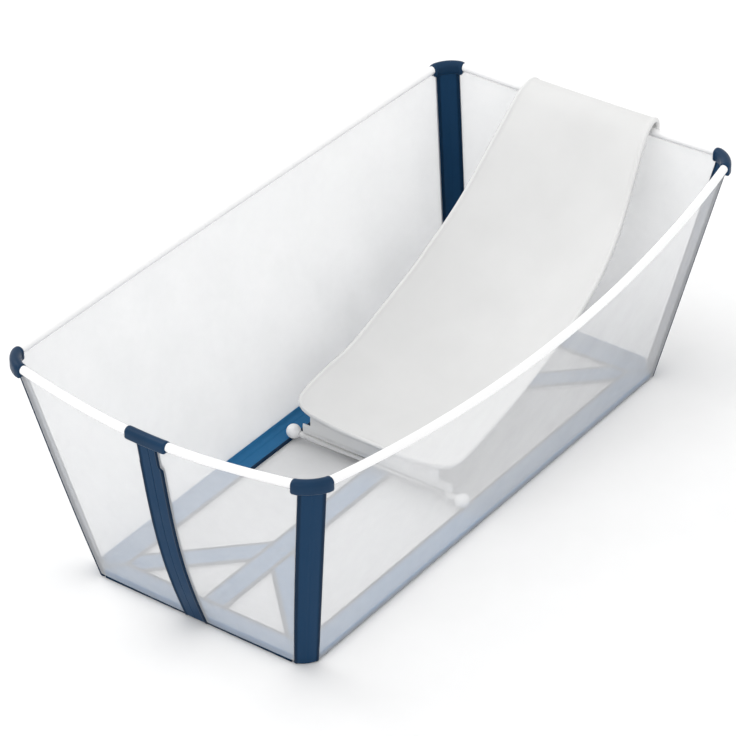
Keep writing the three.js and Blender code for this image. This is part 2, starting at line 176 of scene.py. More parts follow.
def grid_quads(index):
    """Four-sided faces between neighbouring rows and columns of a grid of point numbers."""
    return np.stack([index[:-1, :-1], index[1:, :-1], index[1:, 1:], index[:-1, 1:]], -1).reshape(-1, 4)


def shell(surface, lengths, counts, thickness, radii=None, relief=None, bead=0.0):
    """Closed shell about surface(u, v), and the u and v of its points, which run from 0 to 1.
    Each face stands half the thickness off along the normal. That falls to nothing at a border as a quarter
    circle of the border's radius, half the thickness if none is given, so both faces share the border's
    points. relief scales the thickness, and bead is the radius of a round rim that follows the border."""
    radii = radii or (thickness / 2,) * 4
    turn = math.pi if bead else math.pi / 2
    fine = (bead,) * 4 if bead else radii
    u = spaced(lengths[0], fine[:2], counts[0], turn)
    v = spaced(lengths[1], fine[2:], counts[1], turn)
    u, v = np.meshgrid(u, v, indexing="ij")
    middle = surface(u, v)
    along_u = surface(u + NEAR, v) - surface(u - NEAR, v)
    along_v = surface(u, v + NEAR) - surface(u, v - NEAR)
    normal = np.cross(along_u, along_v)
    normal /= np.linalg.norm(normal, axis=-1, keepdims=True)
    half = np.full(u.shape, thickness / 2)
    distances = border_distances(middle)
    for distance, radius in zip(distances, radii):
        half *= quarter_round(distance, radius)
    if relief is not None:
        half *= relief(u, v)
    if bead:
        nearest = np.minimum.reduce(distances)
        half = np.maximum(half, np.sqrt(np.clip(bead**2 - (nearest - bead) ** 2, 0, None)))
    outer = middle + normal * half[..., None]
    inner = middle - normal * half[..., None]
    front = np.arange(u.size).reshape(u.shape)
    inside = np.zeros(u.shape, bool)
    inside[1:-1, 1:-1] = True
    back = front.copy()
    back[inside] = u.size + np.arange(inside.sum())
    points = np.concatenate([outer.reshape(-1, 3), inner[inside]])
    quads = np.concatenate([grid_quads(front), grid_quads(back)[:, ::-1]])
    places = [np.append(values, values[inside]) for values in (u, v)]
    return (points, quads, NO_TRIANGLES), places


def skin(sections):
    """Closed skin over a row of closed outlines, with a fan of triangles over each end."""
    rows, columns, _ = sections.shape
    index = np.arange(rows * columns).reshape(rows, columns)
    loop = np.concatenate([index, index[:, :1]], axis=1)
    middles = np.stack([sections[0].mean(0), sections[-1].mean(0)])
    points = np.concatenate([sections.reshape(-1, 3), middles])
    first = np.full(columns, rows * columns)
    start = np.stack([loop[0, :-1], loop[0, 1:], first], -1)
    end = np.stack([loop[-1, 1:], loop[-1, :-1], first + 1], -1)
    return points, grid_quads(loop), np.concatenate([start, end])


def resampled(curve, radius, count):
    """Points along curve(t), t from 0 to 1, with fine steps at its two ends for rounding them."""
    dense = curve(np.linspace(0, 1, 800))
    run = np.append(0, np.cumsum(np.linalg.norm(np.diff(dense, axis=0), axis=-1)))
    wanted = spaced(run[-1], (radius, radius), count) * run[-1]
    return np.stack([np.interp(wanted, run, dense[:, k]) for k in range(3)], -1)


def swept(curve, outline, radius, count, square_start=False):
    """A closed outline of (across, up) points carried upright along a curve.
    It shrinks to its middle at each end as a quarter circle of the radius. A square start stays full."""
    path = resampled(curve, radius, count)
    forward = np.gradient(path, axis=0)
    side = np.cross(forward, UP)
    side /= np.linalg.norm(side, axis=-1, keepdims=True)
    run = np.append(0, np.cumsum(np.linalg.norm(np.diff(path, axis=0), axis=-1)))
    from_end = run[-1] - run
    if square_start:
        side[0] = side[1]
    else:
        from_end = np.minimum(run, from_end)
    size = np.clip(quarter_round(from_end, radius), 0.05, 1)[:, None, None]
    middle = outline.mean(0)
    shaped = middle + (outline - middle) * (1 - (1 - size) * 0.45)
    return skin(path[:, None] + side[:, None] * shaped[..., :1] + UP * shaped[..., 1:])


def turned(profile, centre, axis, count=56):
    """A solid of revolution: each (radius, height) of the profile is a circle across the axis."""
    angle = np.linspace(0, 2 * np.pi, count, endpoint=False)
    order = "xyz".index(axis)
    ahead, first, second = (np.eye(3)[(order + turn) % 3] for turn in range(3))
    circle = np.cos(angle)[:, None] * first + np.sin(angle)[:, None] * second
    profile = np.array(profile)
    return skin(np.array(centre) + profile[:, :1, None] * circle + profile[:, 1, None, None] * ahead)


def ring(profile, centre, count=64):
    """A ring about +Z: a closed outline of (radius, height) points turned once round."""
    angle = np.linspace(0, 2 * np.pi, count, endpoint=False)
    radius, height = np.array(profile).T
    x = np.cos(angle)[:, None] * radius
    y = np.sin(angle)[:, None] * radius
    points = np.stack([x, y, np.broadcast_to(height, x.shape)], -1) + np.array(centre)
    index = np.arange(x.size).reshape(x.shape)
    index = np.concatenate([index, index[:1]], axis=0)
    index = np.concatenate([index, index[:, :1]], axis=1)
    return points.reshape(-1, 3), grid_quads(index), NO_TRIANGLES


def volume(points, quads, triangles):
    """Signed volume of a closed mesh: the sum over its triangles of the corners' triple product, over 6."""
    faces = np.concatenate([quads[:, :3], quads[:, [0, 2, 3]], triangles])
    a, b, c = (points[faces[:, k]] for k in range(3))
    return np.einsum("ij,ij->", a, np.cross(b, c)) / 6


def make_piece(name, solid, material, node_name, body=None, edge=None):
    """Puts a solid into the scene with its faces outwards, in place of a frame node.
    It rides on the body if one is given. edge is a value per point, for the strip materials."""
    points, quads, triangles = solid
    if volume(points - points.mean(0), quads, triangles) < 0:
        quads = quads[:, ::-1]
        triangles = triangles[:, ::-1]
    mesh = bpy.data.meshes.new(name)
    mesh.from_pydata(points.tolist(), [], quads.tolist() + triangles.tolist())
    if edge is not None:
        values = edge.astype(np.float32)
        mesh.attributes.new("edge", "FLOAT", "POINT").data.foreach_set("value", values)
    mesh.shade_smooth()
    mesh.materials.append(material)
    piece = bpy.data.objects.new(name, mesh)
    bpy.context.scene.collection.objects.link(piece)
    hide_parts(node_name)
    if body:
        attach(piece, body)
    return piece


# ---- surfaces of the tub: side is -1 right and +1 left, end is -1 at the foot and +1 at the head ----

def lerp(low, high, share):
    return low + (high - low) * share


def half_length(v):
    return BASE_HALF_LENGTH + (RIM_HALF_LENGTH - BASE_HALF_LENGTH) * v


def half_width(v):
    return BASE_HALF_WIDTH + (RIM_HALF_WIDTH - BASE_HALF_WIDTH) * v


def wall_point(side, x, v):
    """Long wall at height share v: a parabola along x bows the rim out and dips it."""
    arch = 1 - (x / half_length(v)) ** 2
    y = side * (half_width(v) + WALL_BOW * arch * v)
    return np.stack(np.broadcast_arrays(x, y, (CORNER_HEIGHT - WALL_DIP * arch) * v), -1)


def end_point(end, y, v):
    """End wall at height share v: a cosine across y bows the rim out and dips it, and a sine of v that is
    weighted to the lower half makes a belly."""
    arch = np.cos(np.pi / 2 * y / half_width(v))
    belly = END_BELLY * np.sin(np.pi * v) * (BELLY_LOW - BELLY_LEAN * v)
    x = end * (half_length(v) + (END_BOW * v + belly) * arch)
    return np.stack(np.broadcast_arrays(x, y, (CORNER_HEIGHT - END_DIP * arch) * v), -1)


def corner_point(end, side, u, v):
    """Corner: a quadratic curve from the wall to the end wall. Its control point lies between their crease
    and the middle of the chord, at the share of the corner's flatness."""
    on_wall = wall_point(side, end * (half_length(v) - CORNER_REACH), v)
    on_end = end_point(end, side * (half_width(v) - CORNER_REACH), v)
    crease = wall_point(side, end * half_length(v), v)
    pull = lerp(crease, (on_wall + on_end) / 2, CORNER_FLATNESS)
    u = np.asarray(u)[..., None]
    return on_wall * (1 - u) ** 2 + pull * 2 * u * (1 - u) + on_end * u**2


def corner_start(inward):
    """How far a floor strip starts from the base corner: on the mitre line, but inside the corner's curve.
    The curve's parameter u solves (1 - k) u^2 + k u = inward / reach, with k its flatness."""
    flat = CORNER_FLATNESS
    share = np.clip(inward, 0, CORNER_REACH) / CORNER_REACH
    u = (np.sqrt(flat**2 + 4 * (1 - flat) * share) - flat) / (2 * (1 - flat))
    curve = CORNER_REACH * ((1 - u) ** 2 + flat * u * (1 - u)) + CORNER_CLEAR
    return np.maximum(inward + JOINT_GAP, curve)


# ---- materials ----

def node(tree, kind, **values):
    """Adds a node and sets its plain properties and unlinked inputs."""
    made = tree.nodes.new(kind)
    for name, value in values.items():
        if hasattr(made, name):
            setattr(made, name, value)
        else:
            made.inputs[name.replace("_", " ")].default_value = value
    return made


def new_group(name, inputs, outputs):
    """An empty shader node group with named sockets: each input is (name, kind, default)."""
    group = bpy.data.node_groups.new(name, "ShaderNodeTree")
    for label, kind, default in inputs:
        socket = group.interface.new_socket(label, in_out="INPUT", socket_type=kind)
        socket.default_value = default
    for label, kind in outputs:
        group.interface.new_socket(label, in_out="OUTPUT", socket_type=kind)
    return group, group.nodes.new("NodeGroupInput"), group.nodes.new("NodeGroupOutput")


def wire(tree, *links):
    """Joins sockets: each link is (from node, its output, to node, its input)."""
    for source, output, target, entry in links:
        tree.links.new(source.outputs[output], target.inputs[entry])


def moulded_grain_group():
    """Fine spark-eroded grain of moulded plastic: two sizes of noise make the height of a bump."""
    group, given, result = new_group(
        "moulded_grain",
        [("Scale", "NodeSocketFloat", 900.0), ("Strength", "NodeSocketFloat", 0.1)],
        [("Height", "NodeSocketFloat"), ("Normal", "NodeSocketVector")],
    )
    place = node(group, "ShaderNodeTexCoord")
    fine = node(group, "ShaderNodeTexNoise", Detail=3.0, Roughness=0.6)
    coarse_scale = node(group, "ShaderNodeMath", operation="MULTIPLY")
    coarse_scale.inputs[1].default_value = 0.16
    coarse = node(group, "ShaderNodeTexNoise", Detail=2.0, Roughness=0.5)
    mixed = node(group, "ShaderNodeMix", Factor=0.35)
    bump = node(group, "ShaderNodeBump", Distance=0.0004)
    wire(
        group,
        (place, "Object", fine, "Vector"),
        (place, "Object", coarse, "Vector"),
        (given, "Scale", fine, "Scale"),
        (given, "Scale", coarse_scale, 0),
        (coarse_scale, 0, coarse, "Scale"),
        (fine, "Fac", mixed, "A"),
        (coarse, "Fac", mixed, "B"),
        (mixed, "Result", bump, "Height"),
        (given, "Strength", bump, "Strength"),
        (mixed, "Result", result, "Height"),
        (bump, "Normal", result, "Normal"),
    )
    return group


def handling_group():
    """Soft clouds of handling: a second tone of the colour and a spread of roughness."""
    group, given, result = new_group(
        "handling",
        [
            ("Colour", "NodeSocketColor", (0.8, 0.8, 0.8, 1)),
            ("Second Colour", "NodeSocketColor", (0.7, 0.7, 0.7, 1)),
            ("Roughness Low", "NodeSocketFloat", 0.3),
            ("Roughness High", "NodeSocketFloat", 0.5),
            ("Scale", "NodeSocketFloat", 18.0),
        ],
        [("Colour", "NodeSocketColor"), ("Roughness", "NodeSocketFloat"), ("Mask", "NodeSocketFloat")],
    )
    place = node(group, "ShaderNodeTexCoord")
    cloud = node(group, "ShaderNodeTexNoise", Detail=4.0, Roughness=0.55)
    spread = node(group, "ShaderNodeMapRange", From_Min=0.32, From_Max=0.68)
    tone = node(group, "ShaderNodeMix", data_type="RGBA")
    rough = node(group, "ShaderNodeMapRange")
    wire(
        group,
        (place, "Object", cloud, "Vector"),
        (given, "Scale", cloud, "Scale"),
        (cloud, "Fac", spread, "Value"),
        (spread, "Result", tone, "Factor"),
        (given, "Colour", tone, "A"),
        (given, "Second Colour", tone, "B"),
        (spread, "Result", rough, "Value"),
        (given, "Roughness Low", rough, "To Min"),
        (given, "Roughness High", rough, "To Max"),
        (tone, "Result", result, "Colour"),
        (rough, "Result", result, "Roughness"),
        (spread, "Result", result, "Mask"),
    )
    return group


def group_node(tree, group_maker, name, **values):
    group = bpy.data.node_groups.get(name) or group_maker()
    made = tree.nodes.new("ShaderNodeGroup")
    made.node_tree = group
    for label, value in values.items():
        made.inputs[label.replace("_", " ")].default_value = value
    return made


def rgba(colour, factor=1.0):
    return (*(channel * factor for channel in colour), 1.0)


def plastic(name, colour, tone, roughness, grain, scale):
    """Base of every finish: handling clouds for colour and roughness, and moulded grain for the normal.
    The clouds' second colour is the first times the tone."""
    material = bpy.data.materials.get(name)
    if material:
        return material, None, None
    material = bpy.data.materials.new(name)
    material.use_nodes = True
    tree = material.node_tree
    shader = tree.nodes["Principled BSDF"]
    clouds = group_node(
        tree, handling_group, "handling", Colour=rgba(colour), Second_Colour=rgba(colour, tone),
        Roughness_Low=roughness[0], Roughness_High=roughness[1],
    )
    relief = group_node(tree, moulded_grain_group, "moulded_grain", Scale=scale, Strength=grain)
    wire(
        tree,
        (clouds, "Colour", shader, "Base Color"),
        (clouds, "Roughness", shader, "Roughness"),
        (relief, "Normal", shader, "Normal"),
    )
    return material, tree, clouds


def frosted_panel(looks):
    """Translucent frosted sheet: a white body that lets part of what lies behind show through."""
    material, tree, clouds = plastic(
        "frosted_panel", looks.panel_colour, 0.975, (0.34, 0.46), 0.12, 1400.0)
    if tree is None:
        return material
    low = looks.panel_veil - 0.025
    high = looks.panel_veil + 0.025
    veil = node(tree, "ShaderNodeMapRange", To_Min=low, To_Max=high)
    wire(tree, (clouds, "Mask", veil, "Value"), (veil, "Result", tree.nodes["Principled BSDF"], "Alpha"))
    return material


def hinge_strip(name, border, channel):
    """Soft rubbery strip: the edge value splits the dark raised borders from the lighter channel."""
    material, tree, clouds = plastic(name, border, 1.25, (0.36, 0.5), 0.25, 1100.0)
    if tree is None:
        return material
    shader = tree.nodes["Principled BSDF"]
    shader.inputs["Specular IOR Level"].default_value = 0.08
    edge = node(tree, "ShaderNodeAttribute", attribute_name="edge")
    channel_mask = node(tree, "ShaderNodeMapRange", From_Min=0.62, From_Max=0.8, To_Min=1.0, To_Max=0.0)
    channel_mask.interpolation_type = "SMOOTHSTEP"
    tone = node(tree, "ShaderNodeMix", data_type="RGBA")
    tone.inputs["B"].default_value = rgba(channel)
    wire(
        tree,
        (edge, "Fac", channel_mask, "Value"),
        (channel_mask, "Result", tone, "Factor"),
        (clouds, "Colour", tone, "A"),
        (tone, "Result", shader, "Base Color"),
    )
    return material


def upright_strip_finish(looks):
    return hinge_strip("navy_upright", looks.strip_border, looks.strip_colour)


def floor_strip_finish(looks):
    return hinge_strip("navy_floor", looks.strip_border, looks.channel_colour)


def cap_finish(looks):
    material = plastic("navy_cap", looks.strip_colour, 0.75, (0.3, 0.42), 0.18, 1100.0)[0]
    material.node_tree.nodes["Principled BSDF"].inputs["Specular IOR Level"].default_value = 0.16
    return material


def white_rim(looks):
    return plastic("white_rim", looks.rim_colour, 0.97, (0.24, 0.36), 0.06, 1500.0)[0]


def support_finish(looks):
    material = plastic("support_shell", looks.support_colour, 0.965, (0.48, 0.62), 0.22, 1000.0)[0]
    shader = material.node_tree.nodes["Principled BSDF"]
    shader.inputs["Subsurface Weight"].default_value = 0.4
    shader.inputs["Subsurface Radius"].default_value = (1.0, 1.0, 1.0)
    shader.inputs["Subsurface Scale"].default_value = 0.006
    return material


def floor_finish():
    return plastic("studio_floor", (0.9, 0.9, 0.9), 0.885 / 0.9, (0.7, 0.8), 0.02, 60.0)[0]


# ---- pieces ----

def wall_panels(looks):
    """Two long walls. They cover the floor strips' upturns and reach into the corner strips."""
    lengths = (2 * BASE_HALF_LENGTH, CORNER_HEIGHT)
    for side_name, side in SIDES:
        def surface(u, v):
            height = lerp(WALL_PANEL_LOW, PANEL_HIGH, v)
            reach = half_length(height) - CORNER_REACH + TUCK
            return wall_point(side, lerp(-reach, reach, u), height)

        solid, _ = shell(surface, lengths, (110, 24), looks.panel_thickness)
        body = f"wall_{side_name}"
        make_piece(f"{body}_sheet", solid, frosted_panel(looks), f"{body}_panel", body)


def end_panels(looks):
    """Four half panels, two at each end. They reach into the corner strip and the centre strip."""
    lengths = (BASE_HALF_WIDTH, CORNER_HEIGHT)
    for corner, end_name, end, side_name, side in CORNERS:
        def surface(u, v):
            height = lerp(END_PANEL_LOW, PANEL_HIGH, v)
            inner = strip_half(side, height) - TUCK
            outer = half_width(height) - CORNER_REACH + TUCK
            return end_point(end, side * lerp(inner, outer, u), height)

        solid, _ = shell(surface, lengths, (32, 48), looks.panel_thickness)
        body = f"end_{corner}"
        make_piece(f"{body}_sheet", solid, frosted_panel(looks), f"{body}_panel", body)


def base_panels(looks):
    """The flat base panels keep their frame shape and get the frosted finish."""
    flat = [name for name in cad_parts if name.startswith("base_") and "strip" not in name]
    for name in flat:
        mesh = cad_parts[name].data
        mesh.materials.clear()
        mesh.materials.append(frosted_panel(looks))


def smooth(value, low, span):
    """Rises from 0 at low to 1 a span later, as the cubic 3 t^2 - 2 t^3."""
    share = np.clip((value - low) / span, 0, 1)
    return share * share * (3 - 2 * share)


def strip_half(side, v):
    """Half width of an end's centre strip: its right half narrows to a neck under the rim cap."""
    neck = NECK_HALF if side < 0 else STRIP_HALF - 0.0005
    return lerp(STRIP_HALF, neck, smooth(v, NECK_START, NECK_SPAN))


def lips(edge):
    """Thickness share across a strip: full on the raised borders and lower on the channel between them."""
    return lerp(0.78, 1.0, smooth(edge, 0.66, 0.12))


def from_middle(u, v):
    """0 on the strip's middle line and 1 on its two borders, where u runs across."""
    return np.abs(2 * u - 1)


def half_across(u, v):
    """0 on the strip's middle line and 1 on its outer border, where u runs across one half of the strip."""
    return u


def along_middle(u, v):
    """As from_middle, where v runs across."""
    return np.abs(2 * v - 1)


def along_half(u, v):
    """As half_across, where v runs across."""
    return v


def corner_strips(looks):
    """Four upright strips that bend round the corners, from the wall to the end's half panel."""
    lengths = (1.6 * CORNER_REACH, CORNER_HEIGHT)
    for corner, end_name, end, side_name, side in CORNERS:
        def surface(u, v):
            return corner_point(end, side, u, lerp(CORNER_STRIP_LOW, STRIP_HIGH, v))

        def relief(u, v):
            groove = np.exp(-(((u - 0.5) / 0.03) ** 2))
            return lips(from_middle(u, v)) - 0.1 * groove

        solid, places = shell(surface, lengths, (36, 40), looks.strip_thickness, relief=relief)
        piece = make_piece(
            f"corner_hinge_{corner}", solid, upright_strip_finish(looks),
            f"corner_strip_{corner}", edge=from_middle(*places))
        blend_corner(piece)


def blend_corner(piece):
    """Bakes a corner piece's placement into its mesh. The piece rides on no body."""
    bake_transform(piece)


def end_strips(looks):
    """The strip in the middle of each end, as two halves that meet on a fine crease line."""
    lengths = (STRIP_HALF, CORNER_HEIGHT)
    crease = 0.0002
    radii = (crease, *(looks.strip_thickness / 2,) * 3)
    for corner, end_name, end, side_name, side in CORNERS:
        def surface(u, v):
            height = lerp(END_STRIP_LOW, STRIP_HIGH, v)
            return end_point(end, side * u * strip_half(side, height), height)

        def relief(u, v):
            return lips(u)

        solid, places = shell(surface, lengths, (20, 90), looks.strip_thickness, radii, relief)
        make_piece(
            f"end_hinge_{corner}", solid, upright_strip_finish(looks),
            f"end_strip_{end_name}", f"end_{corner}", half_across(*places))


def foot_outline(lean, foot, outer, with_floor, with_upturn):
    """Section of a floor edge strip as (inward, up) points: a floor part with raised borders and a sunk
    channel, and an upturn that follows the leaning wall's inner face up to the foot height."""
    slope = lean / CORNER_HEIGHT
    width = EDGE_STRIP_WIDTH
    high = FLOOR_STRIP_HEIGHT
    low = high - 0.0008
    floor = [
        (width - 0.0004, 0.0001), (width, 0.0006), (width, high - 0.0007), (width - 0.0007, high),
        (width - 0.0032, high), (width - 0.0045, low), (0.0085, low), (0.0072, high),
    ]
    tip = [
        (0.0040, high + 0.0001), (0.0031 - slope * 0.005, high + 0.0013),
        (0.0027 - slope * foot, foot - 0.0006), (0.0021 - slope * foot, foot),
        (0.0006 - slope * foot, foot), (-slope * foot, foot - 0.0006),
    ]
    heel = [(outer, high - 0.0008), (outer, 0.0010), (outer + 0.0007, 0.0001)]
    if with_floor and with_upturn:
        return np.array(floor + tip + [(0, high)] + heel)
    if with_floor:
        return np.array(floor + [(0.0006, high), (outer + 0.0008, high - 0.0001)] + heel)
    return np.array(tip + [(-slope * high, high - 0.0004), (0.0028, high - 0.0004)])


def rounded_outline(outline, radius=0.00035):
    """Cuts every corner of a closed outline with three points of a small curve."""
    before = np.roll(outline, 1, axis=0)
    after = np.roll(outline, -1, axis=0)
    to_before = before - outline
    to_after = after - outline
    long_before = np.linalg.norm(to_before, axis=-1, keepdims=True)
    long_after = np.linalg.norm(to_after, axis=-1, keepdims=True)
    start = outline + to_before * np.minimum(radius / long_before, 0.45)
    end = outline + to_after * np.minimum(radius / long_after, 0.45)
    middle = start * 0.25 + outline * 0.5 + end * 0.25
    return np.stack([start, middle, end], 1).reshape(-1, 2)


def floor_edge(inward, up):
    """The edge value of a floor edge strip: 1 on the outer lip and inner border, and low on the upturn."""
    upturn = inward < 0.0042
    outer_lip = (inward < 0.0004) & (up < FLOOR_STRIP_HEIGHT - 0.0006)
    edge = np.abs(2 * np.clip(inward / EDGE_STRIP_WIDTH, 0, 1) - 1)
    return np.where(outer_lip, 1.0, np.where(upturn, 0.4, edge))


def wall_floor_strips(looks):
    """Hinge strips between the long walls and the base, run along the wall between two mitres."""
    lean = RIM_HALF_WIDTH - BASE_HALF_WIDTH
    end_slope = 0.2
    inward, up = rounded_outline(foot_outline(lean, WALL_FOOT, -0.0007, True, True)).T
    t = np.linspace(-1, 1, 61)[:, None]
    for side_name, side in SIDES:
        x = t * (BASE_HALF_LENGTH + end_slope * up - corner_start(inward))
        arch = 1 - (x / BASE_HALF_LENGTH) ** 2
        on_wall = np.clip(1 - inward / UPTURN_REACH, 0, 1)
        y = side * (BASE_HALF_WIDTH - inward + WALL_BOW * arch * up / CORNER_HEIGHT * on_wall)
        solid = skin(np.stack(np.broadcast_arrays(x, y, up), -1))
        edge = floor_edge(BASE_HALF_WIDTH - np.abs(solid[0][:, 1]), solid[0][:, 2])
        piece = make_piece(
            f"floor_hinge_{side_name}", solid, floor_strip_finish(looks),
            f"bottom_strip_{side_name}", edge=edge)
        if side_name == "right":
            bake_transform(piece)
        else:
            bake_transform(piece)


def end_floor_strips(looks):
    """Floor strips along the ends, in halves. The floor part goes with the base triangle and the upturn
    with the end's half panel, because the frame opens there when the tub folds."""
    lean = RIM_HALF_LENGTH - BASE_HALF_LENGTH
    t = np.linspace(0, 1, 31)[:, None]
    for corner, end_name, end, side_name, side in CORNERS:
        for part, body in (("floor", f"base_{corner}_triangle"), ("upturn", f"end_{corner}")):
            outline = foot_outline(lean, END_FOOT, -0.0014, part == "floor", part == "upturn")
            inward, up = rounded_outline(outline).T
            y = t * (BASE_HALF_WIDTH - corner_start(inward))
            arch = np.cos(np.pi / 2 * y / BASE_HALF_WIDTH)
            share = up / CORNER_HEIGHT
            belly = (END_BOW * share + END_BELLY * np.sin(np.pi * share)) * arch
            on_end = np.clip(1 - inward / UPTURN_REACH, 0, 1)
            x = end * (BASE_HALF_LENGTH - inward + belly * on_end)
            solid = skin(np.stack(np.broadcast_arrays(x, side * y, up), -1))
            edge = floor_edge(BASE_HALF_LENGTH - np.abs(solid[0][:, 0]), solid[0][:, 2])
            make_piece(
                f"{part}_hinge_{corner}", solid, floor_strip_finish(looks),
                f"bottom_strip_{end_name}", body, edge)


def flat_strip(name, plan, lengths, looks, edge, radii, node_name, body=None):
    """A strip that lies on the floor. plan(u, v) gives its place, u along and v across."""
    height = FLOOR_STRIP_HEIGHT

    def surface(u, v):
        x, y = plan(u, v)
        return np.stack(np.broadcast_arrays(x, y, height / 2 + 0.0001), -1)

    def relief(u, v):
        return lips(edge(u, v))

    solid, places = shell(surface, lengths, (40, 26), height, radii, relief)
    return make_piece(
        name, solid, floor_strip_finish(looks), node_name, body, edge(*places))


def centre_strips(looks):
    """The strip along the middle of the base: one flat piece between the base panels that rides on no body.
    Past the point where the diagonals meet it, it is two halves that go with the triangles."""
    round_edge = FLOOR_STRIP_HEIGHT / 2
    fine = 0.0004
    reach = BASE_HALF_LENGTH - EDGE_STRIP_WIDTH - JOINT_GAP
    node_name = "base_centre_strip"

    def middle(u, v):
        return lerp(-CREASE_X, CREASE_X, u), lerp(-STRIP_HALF, STRIP_HALF, v)

    lengths = (2 * CREASE_X, 2 * STRIP_HALF)
    radii = (fine, fine, round_edge, round_edge)
    piece = flat_strip("centre_hinge", middle, lengths, looks, along_middle, radii, node_name)
    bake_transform(piece)
    lengths = (reach - CREASE_X, STRIP_HALF)
    radii = (fine, fine, fine, round_edge)
    for corner, end_name, end, side_name, side in CORNERS:
        def outer(u, v):
            return end * lerp(CREASE_X, reach, u), side * lerp(0, STRIP_HALF, v)

        flat_strip(
            f"centre_hinge_{corner}", outer, lengths, looks, along_half, radii, node_name,
            f"base_{corner}_triangle")


def diagonal_strips(looks):
    """Four flat strips across the base corners, from the mitre to the centre strip, which ride on no body.
    """
    round_edge = FLOOR_STRIP_HEIGHT / 2
    radii = (0.0005, 0.0005, round_edge, round_edge)
    first = EDGE_STRIP_WIDTH - 0.0002
    last = BASE_HALF_WIDTH - STRIP_HALF
    lengths = (math.sqrt(2) * (last - first), 2 * STRIP_HALF)
    across = STRIP_HALF / math.sqrt(2)
    for corner, end_name, end, side_name, side in CORNERS:
        def plan(u, v):
            offset = lerp(-across, across, v)
            start = first + np.sqrt(offset**2 + 1e-6)
            along = lerp(start, last + offset, u)
            return end * (BASE_HALF_LENGTH - along - offset), side * (BASE_HALF_WIDTH - along + offset)

        piece = flat_strip(
            f"diagonal_hinge_{corner}", plan, lengths, looks, along_middle, radii,
            f"base_diagonal_strip_{corner}")
        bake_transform(piece)


def circle_outline(radius, count=28):
    angle = np.linspace(0, 2 * np.pi, count, endpoint=False)
    return np.stack([radius * np.cos(angle), radius * np.sin(angle)], -1)


def rim_beads(looks):
    """Round white beads on the rim of both walls and all four end halves, ending inside the caps."""
    outline = circle_outline(BEAD_RADIUS)
    reach = RIM_HALF_LENGTH - CORNER_CAP_REACH + TUCK
    inner = CENTRE_CAP_REACH - TUCK
    outer = RIM_HALF_WIDTH - CORNER_CAP_REACH + TUCK
    for side_name, side in SIDES:
        def wall_rim(t):
            return wall_point(side, lerp(-reach, reach, t), np.ones_like(t))

        solid = swept(wall_rim, outline, BEAD_END_RADIUS, 90)
        body = f"wall_{side_name}"
        make_piece(f"rim_{body}", solid, white_rim(looks), f"rim_bead_{body}", body)
        for end_name, end in ENDS:
            def end_rim(t):
                return end_point(end, side * lerp(inner, outer, t), np.ones_like(t))

            solid = swept(end_rim, outline, BEAD_END_RADIUS, 40)
            body = f"end_{end_name}_{side_name}"
            make_piece(f"rim_{body}", solid, white_rim(looks), f"rim_bead_{body}", body)


def cap_outline(drop):
    """Section of a rim cap: half a circle over the bead, straight sides, and a thick rounded lower lip."""
    angle = np.linspace(0, np.pi, 17)
    top = np.stack([CAP_RADIUS * np.cos(angle), CAP_RADIUS * np.sin(angle) - 0.0002], -1)
    lower = np.array([
        (-CAP_RADIUS, -0.0025), (-CAP_RADIUS - 0.0001, -drop + 0.0013),
        (-CAP_RADIUS + 0.0004, -drop + 0.0004), (-CAP_RADIUS + 0.0013, -drop),
    ])
    mirrored = (lower * np.array([-1, 1]))[::-1]
    return np.concatenate([top, lower, mirrored])


def rim_caps(looks):
    """Navy caps that roll over the rim: one bends round each corner, and each end has one in two halves.
    A corner cap follows the wall, the corner's curve and the end, each for its share of the way t."""
    past = CORNER_CAP_REACH - CORNER_REACH
    for corner, end_name, end, side_name, side in CORNERS:
        def corner_rim(t):
            rim = np.ones_like(t)
            before = past * np.clip(1 - t / 0.25, 0, 1)
            after = past * np.clip((t - 0.75) / 0.25, 0, 1)
            on_wall = wall_point(side, end * (RIM_HALF_LENGTH - CORNER_REACH - before), rim)
            on_end = end_point(end, side * (RIM_HALF_WIDTH - CORNER_REACH - after), rim)
            bend = corner_point(end, side, np.clip((t - 0.25) / 0.5, 0, 1), rim)
            place = np.where((t < 0.25)[:, None], on_wall, bend)
            return np.where((t > 0.75)[:, None], on_end, place)

        def centre_rim(t):
            return end_point(end, side * lerp(0.00005, CENTRE_CAP_REACH, t), np.ones_like(t))

        solid = swept(corner_rim, cap_outline(CORNER_CAP_DROP), CAP_END_RADIUS, 44)
        piece = make_piece(
            f"corner_cap_{corner}", solid, cap_finish(looks), f"rim_cap_{corner}")
        blend_corner(piece)
        solid = swept(centre_rim, cap_outline(CENTRE_CAP_DROP), CAP_END_RADIUS, 24, square_start=True)
        make_piece(
            f"centre_cap_{corner}", solid, cap_finish(looks),
            f"rim_cap_{end_name}_centre", f"end_{corner}")


